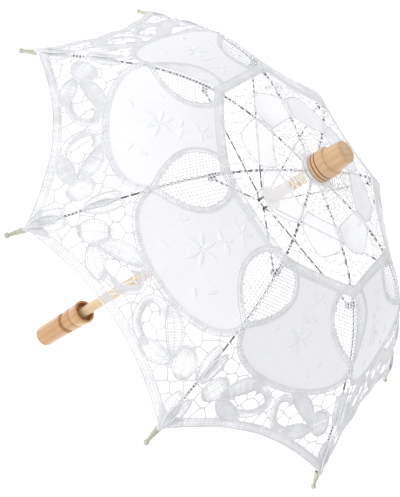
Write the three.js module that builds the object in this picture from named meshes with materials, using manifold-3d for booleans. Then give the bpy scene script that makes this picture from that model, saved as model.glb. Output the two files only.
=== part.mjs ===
// Lace parasol, open, in millimetres. +Z runs up the shaft to the ferrule.
// The parts are laid out in the crown's frame, whose zero is the plane of the rib hinges,
// and the last lines shift them so that the origin is the middle of the hand grip.
import * as THREE from "three";
import { mergeVertices } from "three/addons/utils/BufferGeometryUtils.js";
import Module from "manifold-3d";

const wasm = await Module();
wasm.setup();

// ---- Driving sizes ----
const RIBS = 8; // ribs, stretchers and gores
const STEP = (2 * Math.PI) / RIBS; // angle between ribs
const GAP = 0.3; // clearance between pieces that seat on or in each other
const SEAM = 0.2; // clearance of a canopy piece from the middle line of its gore

const RIB_LENGTH = 250; // along the wire, from the crown eye to the middle of the tip ball
const RIB_WIRE = 1.8; // diameter
const RIB_BEND = 134; // bend radius at the stretcher joint, where the wire is bent most
const RIB_FLARE = 447; // reverse bend radius at the tip
const JOINT_AT = 100; // along the wire, from the crown eye to the stretcher joint
const JOINT_DROP = 4; // from the wire's axis down to the joint rivet
const EYE_WALL = 1; // metal round the hole of a flattened wire end
const EYE_THICK = 1.4;
const TIE_WIRE = 1; // diameter of the wires that string the ribs and the stretchers
const TIE_SLACK = 0.4; // clearance of an eye round its tie wire

const CROWN_ABOVE = 2.6; // crown ring above and below the hinge plane
const CROWN_BELOW = 3;
const RING_WALL = 1; // between the shaft and the slots of the ring
const RING_LIP = 2.5; // ring outside the hinge circle
const DISC_LIP = 1.5; // middle disc of the canopy outside the ring

const SHAFT_RADIUS = 5;
const SHAFT_IN_FERRULE = 18;
const SHAFT_IN_HANDLE = 34;
const STOP_PIN = 1.6; // diameter
const STOP_PIN_OUT = 1.8; // how far each end stands out of the shaft

const FERRULE_LENGTH = 29;
const FERRULE_BASE = 12.2; // radius
const FERRULE_STEP = 10.4;
const FERRULE_END = 9.3;

const RUNNER_DROP = 50; // from the rib hinges down to the stretcher hinges, open
const RUNNER_WALL = 1.1; // of the tube
const RUNNER_ABOVE = 4.5; // flange above and below the stretcher hinges
const RUNNER_BELOW = 4;
const RUNNER_LENGTH = 30.5;
const RUNNER_BEAD = 1.2; // the lower bead outside the tube
const FLANGE_LIP = 1.6; // flange outside the hinge circle

const STRETCHER_WIRE = 1.6;
const HOOK_SLACK = 0.5; // clearance of a stretcher's hook round the runner's wire
const HOOK_WALL = 1.1;
const HOOK_CLEAR = 0.7; // from the hooks to the runner's tube

const CATCH_WIRE = 1.2;
const CATCH_AZIMUTH = STEP; // the shaft's slot faces the second rib
const CATCH_ANCHOR = 24; // below the rib hinges
const CATCH_OUT = 2.6; // how far the catch stands out of the shaft
const CATCH_TAIL = 14; // from the catch's shoulder to its lower end
const CATCH_TAIL_IN = 1.2; // how far the lower end leans in, which stays clear of the slot's floor
const SLOT_DEEP = 6.6; // slot depth from the shaft's surface

const HANDLE_DEPTH = 371; // from the rib hinges down to the handle's end face
const HANDLE_LENGTH = 72;
const GRIP_RADIUS = 10.95;
const GRIP_LENGTH = 41;
const NECK_WIDTH = 6;
const NECK_RADIUS = 7.9;
const HANDLE_RADIUS = 11.35; // upper barrel
const RIM_RADIUS = 11.9;
const CUP_RADIUS = 9.35; // recess round the shaft at the handle's top
const CUP_DEPTH = 7;

const TIP_BALL = 2.3; // radius
const TIP_LENGTH = 13; // from the sleeve's mouth to the middle of the ball
const TIP_NECK = 1.5; // radius by the ball
const TIP_MOUTH = 2.5; // radius at the mouth, which is hollow round the wire
const TIP_MOUTH_WALL = 0.5;
const TIP_MOUTH_DEEP = 2;
const TIP_SOCKET = 6;

const CLIP_LENGTH = 5;
const CLIP_WALL = 0.8; // thickness of the clip's ears
const CLIP_TOP = 0.35; // metal over the wire
const RIVET = 1.4; // diameter
const RIVET_HEAD = 1.3; // radius
const RIVET_HEAD_HIGH = 0.6;

const FABRIC = 0.6;
const FABRIC_LIFT = 2.3; // from the wire's axis to the canopy's underside
const HEM_TO_TIP = 1; // from the hem to the tip's mouth, along the rib wire
const HEM_RISE = 16; // how far the scallop lifts in the middle of a gore

const METAL = { color: 0x6a6d72, roughness: 0.35, metalness: 1 };
const PLASTIC = { color: 0xf0efe9, roughness: 0.35, metalness: 0 };
const IVORY = { color: 0xf1e6c6, roughness: 0.4, metalness: 0 };
const PALE_WOOD = { color: 0xd9bf85, roughness: 0.5, metalness: 0 };
const WARM_WOOD = { color: 0xcc9e68, roughness: 0.35, metalness: 0 };
const LACE = { color: 0xf2f2f5, roughness: 0.9, metalness: 0 };

// ---- Sizes that follow ----
const hemAtRib = RIB_LENGTH - TIP_LENGTH - HEM_TO_TIP; // along the rib wire
const wireRadius = RIB_WIRE / 2;
const tieRadius = TIE_WIRE / 2;
const eyeHole = tieRadius + TIE_SLACK;
const eyeRadius = eyeHole + EYE_WALL;
const rodRadius = STRETCHER_WIRE / 2;
const hookIn = tieRadius + HOOK_SLACK;
const hookOut = hookIn + HOOK_WALL;
const shaftBore = SHAFT_RADIUS + GAP;
const ringSlotFrom = shaftBore + RING_WALL;
const crownRadius = ringSlotFrom + GAP + eyeRadius; // from the axis to the rib hinges
const runnerTube = shaftBore + RUNNER_WALL;
const runnerRadius = runnerTube + HOOK_CLEAR + hookOut; // from the axis to the stretcher hinges
const ringSlot = RIB_WIRE + 2 * GAP; // width of the ring's rib slots
const flangeSlot = STRETCHER_WIRE + 2 * TIE_SLACK;
const tieGroove = tieRadius + GAP; // half height of the grooves that hold the tie wires
const clipEarIn = rodRadius + GAP;
const clipEarOut = clipEarIn + CLIP_WALL;
const clipBore = wireRadius + GAP;
const discBottom = CROWN_ABOVE + GAP;
const discRadius = crownRadius + RING_LIP + DISC_LIP;
const ferruleBottom = discBottom + FABRIC + GAP;
const runnerTop = -RUNNER_DROP + RUNNER_ABOVE;
const runnerBottom = runnerTop - RUNNER_LENGTH;
const stopPinHeight = runnerTop + GAP + STOP_PIN / 2;
const catchShoulder = runnerBottom - GAP - CATCH_WIRE / 2;
const handleTop = -HANDLE_DEPTH + HANDLE_LENGTH;
const gripMiddle = -HANDLE_DEPTH + GRIP_LENGTH / 2;
const shaftTop = ferruleBottom + SHAFT_IN_FERRULE;
const shaftBottom = handleTop - CUP_DEPTH - SHAFT_IN_HANDLE;

// ---- Solids ----
function toSolid(geometry) {
  const bare = new THREE.BufferGeometry();
  const flat = geometry.index ? geometry.toNonIndexed() : geometry;
  bare.setAttribute("position", flat.getAttribute("position"));
  const merged = mergeVertices(bare, 1e-4);
  const mesh = new wasm.Mesh({
    numProp: 3,
    vertProperties: merged.attributes.position.array,
    triVerts: new Uint32Array(merged.index.array),
  });
  return new wasm.Manifold(mesh);
}

function toGeometry(solid) {
  const { vertProperties, triVerts } = solid.getMesh();
  const geometry = new THREE.BufferGeometry();
  geometry.setAttribute("position", new THREE.BufferAttribute(vertProperties, 3));
  geometry.setIndex(new THREE.BufferAttribute(triVerts, 1));
  geometry.computeVertexNormals();
  return geometry;
}

// A turned piece about Z. Its profile is [radius, height] points with the metal on their left.
function turned(profile, sides) {
  const points = profile.map(([r, z]) => new THREE.Vector2(r, z));
  return new THREE.LatheGeometry(points, sides).rotateX(Math.PI / 2);
}

// A ring about Z with a square-cornered section.
function tube(inner, outer, bottom, top, sides) {
  const section = [[inner, bottom], [outer, bottom], [outer, top], [inner, top], [inner, bottom]];
  return turned(section, sides);
}

function rod(radius, bottom, top, sides) {
  return turned([[0, bottom], [radius, bottom], [radius, top], [0, top]], sides);
}

// A box from its lowest to its highest corner.
function block(low, high) {
  const size = high.map((value, axis) => value - low[axis]);
  const box = new THREE.BoxGeometry(...size);
  return box.translate(...low.map((value, axis) => value + size[axis] / 2));
}

// A round bar across the rib's plane, along Y.
function crossBar(radius, length, x, z, sides = 12) {
  return new THREE.CylinderGeometry(radius, radius, length, sides).translate(x, 0, z);
}

// Arc of [radius, height] points from one angle to another, in degrees.
function arc(centreR, centreZ, radius, from, to, steps = 4) {
  return Array.from({ length: steps + 1 }, (_, i) => {
    const angle = THREE.MathUtils.degToRad(from + ((to - from) * i) / steps);
    return [centreR + radius * Math.cos(angle), centreZ + radius * Math.sin(angle)];
  });
}

// ---- The rib's curve, in its own plane: x out from the axis, z up ----
function bendAt(s) {
  if (s < JOINT_AT) return s / JOINT_AT / RIB_BEND;
  const past = (s - JOINT_AT) / (RIB_LENGTH - JOINT_AT);
  return (1 - past) / RIB_BEND - past / RIB_FLARE;
}

function ribPoint(s, steps = 60) {
  let x = crownRadius;
  let z = 0;
  let slope = 0;
  const ds = s / steps;
  for (let i = 0; i < steps; i++) {
    const middle = slope + (bendAt((i + 0.5) * ds) * ds) / 2;
    x += Math.cos(middle) * ds;
    z -= Math.sin(middle) * ds;
    slope += bendAt((i + 0.5) * ds) * ds;
  }
  return { x, z, slope };
}

// A point at a distance below the wire's axis, square to it.
function underRib(s, drop) {
  const { x, z, slope } = ribPoint(s);
  return { x: x - drop * Math.sin(slope), z: z - drop * Math.cos(slope), slope };
}

function ribWire(from, to, steps, sides) {
  const points = Array.from({ length: steps + 1 }, (_, i) => {
    const { x, z } = ribPoint(from + ((to - from) * i) / steps);
    return new THREE.Vector3(x, 0, z);
  });
  const section = new THREE.Shape();
  for (let i = 0; i < sides; i++) {
    const angle = (2 * Math.PI * i) / sides;
    const spot = [wireRadius * Math.cos(angle), wireRadius * Math.sin(angle)];
    if (i) section.lineTo(...spot);
    else section.moveTo(...spot);
  }
  const extrudePath = new THREE.CatmullRomCurve3(points);
  return new THREE.ExtrudeGeometry(section, { steps, extrudePath, curveSegments: 1 });
}

// ---- Pieces on the axis ----
function makeShaft() {
  const slotWidth = CATCH_WIRE + 2 * TIE_SLACK;
  const low = [SHAFT_RADIUS - SLOT_DEEP, -slotWidth / 2, catchShoulder - CATCH_TAIL - CATCH_WIRE];
  const high = [2 * SHAFT_RADIUS, slotWidth / 2, -CATCH_ANCHOR + CATCH_WIRE];
  const slot = toSolid(block(low, high).rotateZ(CATCH_AZIMUTH));
  const hole = crossBar(STOP_PIN / 2 + GAP, 4 * SHAFT_RADIUS, 0, stopPinHeight);
  return toSolid(rod(SHAFT_RADIUS, shaftBottom, shaftTop, 32))
    .subtract(slot)
    .subtract(toSolid(hole.rotateZ(CATCH_AZIMUTH)));
}

function makeStopPin() {
  const pin = crossBar(STOP_PIN / 2, 2 * (SHAFT_RADIUS + STOP_PIN_OUT), 0, stopPinHeight, 12);
  return toSolid(pin.rotateZ(CATCH_AZIMUTH));
}

// The bent wire that holds the runner up. It lies in the shaft's slot, and its knee stands out.
function makeTopSpring() {
  const inside = SHAFT_RADIUS - CATCH_WIRE / 2 - GAP;
  const knee = SHAFT_RADIUS + CATCH_OUT - CATCH_WIRE / 2;
  const anchorDeep = 1.2;
  const route = [
    [anchorDeep, -CATCH_ANCHOR],
    [inside - 1, -CATCH_ANCHOR],
    [inside, -CATCH_ANCHOR - 1.2],
    [inside, runnerBottom + 3],
    [inside, catchShoulder],
    [knee - CATCH_WIRE / 2, catchShoulder],
    [knee, catchShoulder - CATCH_WIRE],
    [inside - CATCH_TAIL_IN / 2, catchShoulder - CATCH_TAIL + 1],
    [inside - CATCH_TAIL_IN, catchShoulder - CATCH_TAIL],
  ];
  const balls = route.map(([x, z]) =>
    toSolid(new THREE.SphereGeometry(CATCH_WIRE / 2, 8, 4).translate(x, 0, z)),
  );
  const bars = route.slice(1).map(([x, z], i) => {
    const from = new THREE.Vector3(route[i][0], 0, route[i][1]);
    const along = new THREE.Vector3(x, 0, z).sub(from);
    const bar = new THREE.CylinderGeometry(CATCH_WIRE / 2, CATCH_WIRE / 2, along.length(), 8);
    const turn = new THREE.Quaternion();
    turn.setFromUnitVectors(new THREE.Vector3(0, 1, 0), along.clone().normalize());
    bar.applyQuaternion(turn);
    const middle = from.addScaledVector(along, 0.5);
    return toSolid(bar.translate(middle.x, 0, middle.z));
  });
  return wasm.Manifold.union([...balls, ...bars]).rotate([0, 0, (CATCH_AZIMUTH * 180) / Math.PI]);
}

function makeFerrule() {
  const z = ferruleBottom;
  const groove = 0.5;
  const grooveAt = (height) => [
    [FERRULE_BASE, z + height - groove],
    [FERRULE_BASE - groove, z + height],
    [FERRULE_BASE, z + height + groove],
  ];
  const stepHeight = 14.5;
  return toSolid(
    turned(
      [
        [0, shaftTop + GAP],
        [shaftBore, shaftTop + GAP],
        [shaftBore, z],
        ...arc(FERRULE_BASE - 1.2, z + 1.2, 1.2, -90, 0),
        ...grooveAt(3.6),
        ...grooveAt(6.8),
        ...arc(FERRULE_BASE - 1.2, z + stepHeight - 1.2, 1.2, 0, 90),
        [FERRULE_STEP, z + stepHeight],
        [FERRULE_END + 0.2, z + FERRULE_LENGTH - 1.2],
        [FERRULE_END - 0.8, z + FERRULE_LENGTH],
        [0, z + FERRULE_LENGTH],
      ],
      28,
    ),
  );
}

function makeHandle() {
  const z = -HANDLE_DEPTH;
  const neckTop = GRIP_LENGTH + NECK_WIDTH;
  const middle = (neckTop + HANDLE_LENGTH) / 2 - 1; // of the upper barrel
  const groove = 0.5;
  const soft = 1.6; // rounding at the neck
  const lip = (RIM_RADIUS - CUP_RADIUS) / 2;
  return toSolid(
    turned(
      [
        [0, z],
        ...arc(GRIP_RADIUS - 3, z + 3, 3, -90, 0, 5),
        ...arc(GRIP_RADIUS - soft, z + GRIP_LENGTH - soft, soft, 0, 60),
        [NECK_RADIUS, z + GRIP_LENGTH + 0.6],
        [NECK_RADIUS, z + neckTop - 0.6],
        ...arc(HANDLE_RADIUS - soft, z + neckTop + soft, soft, -60, 0),
        [HANDLE_RADIUS, z + middle - groove],
        [HANDLE_RADIUS - groove, z + middle],
        [HANDLE_RADIUS, z + middle + groove],
        [RIM_RADIUS, handleTop - 4],
        ...arc(RIM_RADIUS - lip, handleTop - lip, lip, 0, 180, 6),
        [CUP_RADIUS, handleTop - CUP_DEPTH],
        [shaftBore, handleTop - CUP_DEPTH],
        [shaftBore, shaftBottom - GAP],
        [0, shaftBottom - GAP],
      ],
      28,
    ),
  );
}

// A ring with a slot at each rib and a groove round it for the tie wire.
function slottedRing(body, hinge, height, slot, slotFrom, outside) {
  const groove = tube(hinge - tieGroove, outside + 1, height - tieGroove, height + tieGroove, 32);
  let ring = body.subtract(toSolid(groove));
  for (let k = 0; k < RIBS; k++) {
    const low = [slotFrom, -slot / 2, height - 20];
    const high = [outside + 1, slot / 2, height + 20];
    ring = ring.subtract(toSolid(block(low, high).rotateZ(k * STEP)));
  }
  return ring;
}

function makeCrownRing() {
  const outside = crownRadius + RING_LIP;
  const body = toSolid(tube(shaftBore, outside, -CROWN_BELOW, CROWN_ABOVE, 32));
  return slottedRing(body, crownRadius, 0, ringSlot, ringSlotFrom, outside);
}

function makeRunner() {
  const z = -RUNNER_DROP;
  const outside = runnerRadius + FLANGE_LIP;
  const bead = (RUNNER_WALL + RUNNER_BEAD) / 2;
  const body = toSolid(
    turned(
      [
        [shaftBore, runnerBottom],
        ...arc(runnerTube + RUNNER_BEAD - bead, runnerBottom + bead, bead, -90, 60, 4),
        [runnerTube, runnerBottom + 2 * bead + 1],
        [runnerTube, z - RUNNER_BELOW - 1],
        [outside, z - RUNNER_BELOW],
        [outside, runnerTop],
        [shaftBore, runnerTop],
        [shaftBore, runnerBottom],
      ],
      32,
    ),
  );
  return slottedRing(body, runnerRadius, z, flangeSlot, runnerTube, outside);
}

function makeTieWire(radius, height) {
  return toSolid(new THREE.TorusGeometry(radius, tieRadius, 6, 4 * RIBS).translate(0, 0, height));
}

function makeCrownDisc() {
  return toSolid(tube(shaftBore, discRadius, discBottom, discBottom + FABRIC, 32));
}

// ---- Pieces of one rib, made in the rib's plane ----
function makeRib() {
  const wireEnd = RIB_LENGTH - TIP_LENGTH + TIP_SOCKET - GAP;
  return toSolid(ribWire(eyeHole + EYE_WALL / 2, wireEnd, 16, 8))
    .add(toSolid(crossBar(eyeRadius, EYE_THICK, crownRadius, 0)))
    .subtract(toSolid(crossBar(eyeHole, 2 * RIB_WIRE, crownRadius, 0)));
}

// Turned about Z with the ball at its lower end, then laid along the end of the rib.
function makeTip() {
  const mouth = TIP_LENGTH;
  const flare = mouth - TIP_MOUTH_DEEP;
  const tip = turned(
    [
      ...arc(0, 0, TIP_BALL, -90, 45, 5),
      [TIP_NECK, TIP_BALL],
      [TIP_MOUTH, flare],
      [TIP_MOUTH, mouth],
      [TIP_MOUTH - TIP_MOUTH_WALL, mouth],
      [clipBore, flare],
      [clipBore, mouth - TIP_SOCKET],
      [0, mouth - TIP_SOCKET],
    ],
    10,
  );
  const end = ribPoint(RIB_LENGTH);
  const back = ribPoint(RIB_LENGTH - TIP_LENGTH);
  const lean = Math.atan2(end.x - back.x, back.z - end.z);
  return toSolid(tip.rotateY(-lean).translate(end.x, 0, end.z));
}

// The clip wraps the wire, and its two ears hold the rivet below it. x runs along the wire.
function makeClip() {
  const low = [-CLIP_LENGTH / 2, -clipEarOut, -JOINT_DROP - RIVET_HEAD];
  const high = [CLIP_LENGTH / 2, clipEarOut, 0];
  const wrapRadius = clipBore + CLIP_TOP;
  const between = block(
    [-CLIP_LENGTH, -clipEarIn, low[2] - 1],
    [CLIP_LENGTH, clipEarIn, -wrapRadius],
  );
  const wrap = rod(wrapRadius, low[0], high[0], 16).rotateY(Math.PI / 2);
  const bore = rod(clipBore, -CLIP_LENGTH, CLIP_LENGTH, 12).rotateY(Math.PI / 2);
  const clip = toSolid(block(low, high))
    .add(toSolid(wrap))
    .subtract(toSolid(between))
    .subtract(toSolid(bore))
    .subtract(toSolid(crossBar(RIVET / 2 + GAP, 4 * clipEarOut, 0, -JOINT_DROP)));
  return placedOnRib(clip);
}

function makeRivet() {
  const long = 2 * (clipEarOut + GAP);
  let rivet = toSolid(crossBar(RIVET / 2, long + 0.2, 0, -JOINT_DROP, 10));
  for (const side of [-1, 1]) {
    const head = crossBar(RIVET_HEAD, RIVET_HEAD_HIGH, 0, -JOINT_DROP, 10);
    rivet = rivet.add(toSolid(head.translate(0, (side * (long + RIVET_HEAD_HIGH)) / 2, 0)));
  }
  return placedOnRib(rivet);
}

// Moves a solid made about the wire's axis to the stretcher joint.
function placedOnRib(solid) {
  const { x, z, slope } = ribPoint(JOINT_AT);
  return solid.rotate([0, (slope * 180) / Math.PI, 0]).translate([x, 0, z]);
}

// Made from the joint rivet at its origin, along x, and then turned over and laid in place, so
// that the hook passes under the runner's wire and opens upwards.
function makeStretcher() {
  const joint = underRib(JOINT_AT, JOINT_DROP);
  const inward = joint.x - runnerRadius;
  const down = joint.z + RUNNER_DROP;
  const span = Math.hypot(inward, down);
  const eye = RIVET / 2 + GAP + EYE_WALL;
  const shankDrop = (hookIn + hookOut) / 2;
  const shank = rod(rodRadius, 0, span + hookIn / 2, 8).rotateY(Math.PI / 2);
  shank.rotateY(-Math.atan2(shankDrop, span));
  const hookEnd = Math.PI / 4;
  const outline = new THREE.Shape();
  outline.absarc(0, 0, hookOut, -Math.PI / 2, hookEnd, false);
  outline.absarc(0, 0, hookIn, hookEnd, -Math.PI / 2, true);
  const hook = new THREE.ExtrudeGeometry(outline, {
    depth: EYE_THICK,
    curveSegments: 5,
    bevelEnabled: false,
  });
  hook.translate(0, 0, -EYE_THICK / 2).rotateX(-Math.PI / 2).translate(span, 0, 0);
  const rivetHole = crossBar(RIVET / 2 + GAP, 4 * rodRadius, 0, 0);
  return toSolid(shank)
    .add(toSolid(crossBar(eye, EYE_THICK, 0, 0)))
    .add(toSolid(hook))
    .subtract(toSolid(rivetHole))
    .rotate([0, 180 - (Math.atan2(down, inward) * 180) / Math.PI, 0])
    .translate([joint.x, 0, joint.z]);
}

// The cloth between the middle lines of the two gores beside a rib. across is 0 at the rib
// and 1 or -1 at a middle line, and each gore is straight from rib to rib.
function canopyPoint(along, across, lift) {
  const share = Math.abs(across) / 2;
  const from = discRadius + GAP - crownRadius;
  const to = hemAtRib - HEM_RISE * (1 - (1 - 2 * share) ** 2);
  const { x, z, slope } = ribPoint(from + (to - from) * along, 24);
  const steep = Math.atan2(Math.sin(slope), Math.cos(slope) * Math.cos(STEP / 2));
  const level = Math.sin(steep) * lift;
  const seam = (SEAM / Math.sin(STEP)) * across;
  return new THREE.Vector3(
    x * (1 - share * (1 - Math.cos(STEP))) + level * Math.cos(STEP / 2),
    (x * Math.sin(STEP) * across) / 2 - seam + level * Math.sin(STEP / 2) * Math.sign(across),
    z + Math.cos(steep) * lift,
  );
}

function makeCanopyPiece() {
  const rows = 12;
  const columns = 6;
  const points = [];
  for (const lift of [FABRIC_LIFT, FABRIC_LIFT + FABRIC])
    for (let i = 0; i <= rows; i++)
      for (let j = 0; j <= columns; j++)
        points.push(canopyPoint(i / rows, (2 * j) / columns - 1, lift));
  const at = (layer, i, j) => (layer * (rows + 1) + i) * (columns + 1) + j;
  const faces = [];
  const quad = (a, b, c, d) => faces.push(a, b, c, a, c, d);
  for (let i = 0; i < rows; i++)
    for (let j = 0; j < columns; j++) {
      quad(at(1, i, j), at(1, i + 1, j), at(1, i + 1, j + 1), at(1, i, j + 1));
      quad(at(0, i, j), at(0, i, j + 1), at(0, i + 1, j + 1), at(0, i + 1, j));
    }
  for (let i = 0; i < rows; i++) {
    quad(at(0, i, 0), at(0, i + 1, 0), at(1, i + 1, 0), at(1, i, 0));
    quad(at(0, i + 1, columns), at(0, i, columns), at(1, i, columns), at(1, i + 1, columns));
  }
  for (let j = 0; j < columns; j++) {
    quad(at(0, 0, j), at(1, 0, j), at(1, 0, j + 1), at(0, 0, j + 1));
    quad(at(1, rows, j), at(0, rows, j), at(0, rows, j + 1), at(1, rows, j + 1));
  }
  const geometry = new THREE.BufferGeometry().setFromPoints(points);
  geometry.setIndex(faces);
  return toSolid(geometry);
}

// ---- Assembly ----
const parasol = new THREE.Group();
parasol.name = "lace_parasol";

function addPiece(parent, name, solid, look) {
  const mesh = new THREE.Mesh(toGeometry(solid), new THREE.MeshStandardMaterial(look));
  mesh.name = name;
  parent.add(mesh);
}

addPiece(parasol, "shaft", makeShaft(), PALE_WOOD);
addPiece(parasol, "ferrule", makeFerrule(), WARM_WOOD);
addPiece(parasol, "handle", makeHandle(), WARM_WOOD);
addPiece(parasol, "crown_ring", makeCrownRing(), PLASTIC);
addPiece(parasol, "crown_wire", makeTieWire(crownRadius, 0), METAL);
addPiece(parasol, "canopy_crown", makeCrownDisc(), LACE);
addPiece(parasol, "stop_pin", makeStopPin(), METAL);
addPiece(parasol, "top_spring", makeTopSpring(), METAL);
addPiece(parasol, "runner", makeRunner(), PLASTIC);
addPiece(parasol, "runner_wire", makeTieWire(runnerRadius, -RUNNER_DROP), METAL);

const ribPieces = [
  ["rib", makeRib(), METAL],
  ["rib_tip", makeTip(), IVORY],
  ["joint_clip", makeClip(), METAL],
  ["joint_rivet", makeRivet(), METAL],
  ["stretcher", makeStretcher(), METAL],
  ["canopy", makeCanopyPiece(), LACE],
];
for (let k = 0; k < RIBS; k++) {
  const place = new THREE.Group();
  place.rotation.z = k * STEP;
  for (const [name, solid, look] of ribPieces) addPiece(place, `${name}_${k + 1}`, solid, look);
  parasol.add(place);
}

parasol.position.z = -gripMiddle;

export default parasol;
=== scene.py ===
"""Looks of the lace parasol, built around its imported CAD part. Metres, in the row frame."""

import math

import bpy
import numpy as np
from mathutils import Matrix, Vector
from mathutils.geometry import delaunay_2d_cdt


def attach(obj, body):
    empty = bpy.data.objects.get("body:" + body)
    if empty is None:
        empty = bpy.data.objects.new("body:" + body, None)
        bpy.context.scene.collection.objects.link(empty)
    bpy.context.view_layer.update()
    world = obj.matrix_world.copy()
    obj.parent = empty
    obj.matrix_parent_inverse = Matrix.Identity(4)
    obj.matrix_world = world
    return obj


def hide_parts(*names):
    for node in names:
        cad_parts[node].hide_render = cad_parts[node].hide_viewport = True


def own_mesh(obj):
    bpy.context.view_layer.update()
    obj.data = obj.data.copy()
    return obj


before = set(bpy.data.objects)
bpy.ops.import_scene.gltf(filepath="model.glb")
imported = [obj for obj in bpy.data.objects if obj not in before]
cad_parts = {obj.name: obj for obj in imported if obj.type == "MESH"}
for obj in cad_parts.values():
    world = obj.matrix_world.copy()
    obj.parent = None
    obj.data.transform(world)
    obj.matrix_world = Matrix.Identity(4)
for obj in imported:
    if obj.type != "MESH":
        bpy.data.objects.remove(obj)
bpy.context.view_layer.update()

# ---- Sizes shared with the CAD ----
MM = 0.001
CROWN = 350.5 * MM  # height of the rib hinges
RIBS = 8
STEP = 2 * math.pi / RIBS
LENGTH = 250 * MM  # of a rib along its wire
RIB_EYE = 8.5 * MM
JOINT_AT = 0.4  # stretcher joint, as a share of the rib's length
RIB_BEND = 134 / 250
RIB_FLARE = 447 / 250
SIN, COS = math.sin(STEP / 2), math.cos(STEP / 2)
LIFT = 2.5 * MM  # from the wire's axis to the middle of the cloth
SAG = 2.2 * MM  # how far the cloth hangs in between two ribs
CORD, RUNG, THREAD, FINE = 0.52 * MM, 0.45 * MM, 0.36 * MM, 0.26 * MM  # radii of threads
EDGE_CORD = CORD * 1.1  # along the edges of the wide tapes
TAPE_PITCH = 0.0046  # between the rungs of a tape, in rib lengths


# ---- The rib's curve. s runs from 0 at the crown eye to 1 at the tip ball ----
def rib_table(steps=500):
    s = np.linspace(0, 1, steps + 1)
    past = np.clip((s - JOINT_AT) / (1 - JOINT_AT), 0, 1)
    bend = np.where(
        s < JOINT_AT,
        s / JOINT_AT / RIB_BEND,
        (1 - past) / RIB_BEND - past / RIB_FLARE,
    )
    def total(value):
        middle = (value[1:] + value[:-1]) / 2
        return np.concatenate([[0], np.cumsum(middle) / steps])
    slope = total(bend)
    r = RIB_EYE + LENGTH * total(np.cos(slope))
    z = CROWN - LENGTH * total(np.sin(slope))
    return s, r, z, slope


RIB_S, RIB_R, RIB_Z, RIB_SLOPE = rib_table()


def half(s):
    """Half width of a gore at s, in rib lengths."""
    return np.interp(s, RIB_S, RIB_R) * SIN / LENGTH


def place(x, s, lift, k):
    """Points and outward normals of gore k at x from its middle line (in rib lengths)."""
    x, s, lift = np.broadcast_arrays(*(np.asarray(v, float) for v in (x, s, lift)))
    r = np.interp(s, RIB_S, RIB_R)
    z = np.interp(s, RIB_S, RIB_Z)
    slope = np.interp(s, RIB_S, RIB_SLOPE)
    across = np.clip(x * LENGTH / (r * SIN), -1.1, 1.1)
    flat = 1 - np.minimum(across**2, 1)
    steep = np.arctan2(np.sin(slope), np.cos(slope) * COS)
    steep = slope + (steep - slope) * flat
    turn = across * STEP / 2
    normal = np.stack(
        [np.sin(steep) * np.cos(turn), np.sin(steep) * np.sin(turn), np.cos(steep)], -1
    )
    ripple = np.sin(31 * x + 9 * s + 1.7 * k) * np.sin(23 * s - 11 * x + 2.3 * k)
    edge = np.clip((s - 0.62) / 0.3, 0, 1) ** 2
    wave = np.sin(38 * x + 0.9 * k) * edge * 0.7 * MM
    out = LIFT + lift + flat * (0.35 * MM * ripple + wave - SAG * np.sin(math.pi * s))
    base = np.stack([r * COS, x * LENGTH, z], -1)
    return turned(base + normal * out[..., None], k), turned(normal, k)


def turned(points, k):
    """From gore k's own frame, with +X out along its middle line, to the row frame."""
    angle = (k - 0.5) * STEP
    c, s = math.cos(angle), math.sin(angle)
    return points @ np.array([[c, s, 0], [-s, c, 0], [0, 0, 1]])


# ---- Flat curves, as arrays of (x, s) ----
def smooth(points, count=40):
    """A Catmull-Rom curve through points, as count evenly spaced points."""
    p = np.asarray(points, float)
    p = np.vstack([2 * p[0] - p[1], p, 2 * p[-1] - p[-2]])
    t = np.linspace(0, len(p) - 3, 12 * len(p))
    i = np.minimum(t.astype(int), len(p) - 4)
    u = (t - i)[:, None]
    a, b, c, d = p[i], p[i + 1], p[i + 2], p[i + 3]
    curve = 0.5 * (
        2 * b + (c - a) * u + (2 * a - 5 * b + 4 * c - d) * u**2
        + (3 * b - a - 3 * c + d) * u**3
    )
    return evenly(curve, count)


def evenly(curve, count):
    run = lengths(curve)
    at = np.linspace(0, run[-1], max(2, int(count)))
    return np.stack([np.interp(at, run, curve[:, i]) for i in (0, 1)], 1)


def lengths(curve):
    return np.concatenate([[0], np.cumsum(np.hypot(*np.diff(curve, axis=0).T))])


def sideways(curve, distance):
    """The curve shifted to its left by a distance, or by one for each point."""
    t = np.gradient(curve, axis=0)
    t /= np.maximum(np.hypot(*t.T), 1e-9)[:, None]
    return curve + np.stack([-t[:, 1], t[:, 0]], 1) * np.reshape(distance, (-1, 1))


def inside(polygon, points):
    x, y = points[:, :1], points[:, 1:]
    a, b = polygon, np.roll(polygon, -1, 0)
    crosses = (a[:, 1] > y) != (b[:, 1] > y)
    rise = np.where(b[:, 1] == a[:, 1], 1e-12, b[:, 1] - a[:, 1])
    return (crosses & (x < (b[:, 0] - a[:, 0]) * (y - a[:, 1]) / rise + a[:, 0])).sum(1) % 2 == 1


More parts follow.
